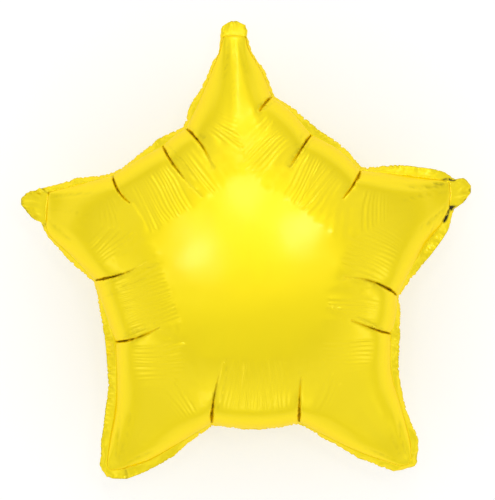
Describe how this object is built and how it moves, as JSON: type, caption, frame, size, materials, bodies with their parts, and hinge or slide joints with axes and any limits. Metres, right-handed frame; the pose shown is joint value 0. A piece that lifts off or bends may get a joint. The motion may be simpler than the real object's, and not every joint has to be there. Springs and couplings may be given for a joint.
{
  "type": "star foil balloon",
  "caption": "Gas-filled five-pointed star balloon of yellow metallised film with a gathered seal, a sealed fin round its edge and a flat filling tail behind.",
  "frame": {"origin": "on the ground under the middle of the balloon's box, with the balloon lying on its back", "axes": "+Z out of the balloon's face, +Y towards its top tip, +X to the right of the star seen from its face"},
  "size_m": [0.4376, 0.445, 0.1601],
  "materials": {
    "metallised_film": "satin metallised polyester film, bright lemon yellow"
  },
  "bodies": {
    "root": {"star_balloon": "metallised_film"}
  },
  "joints": []
}
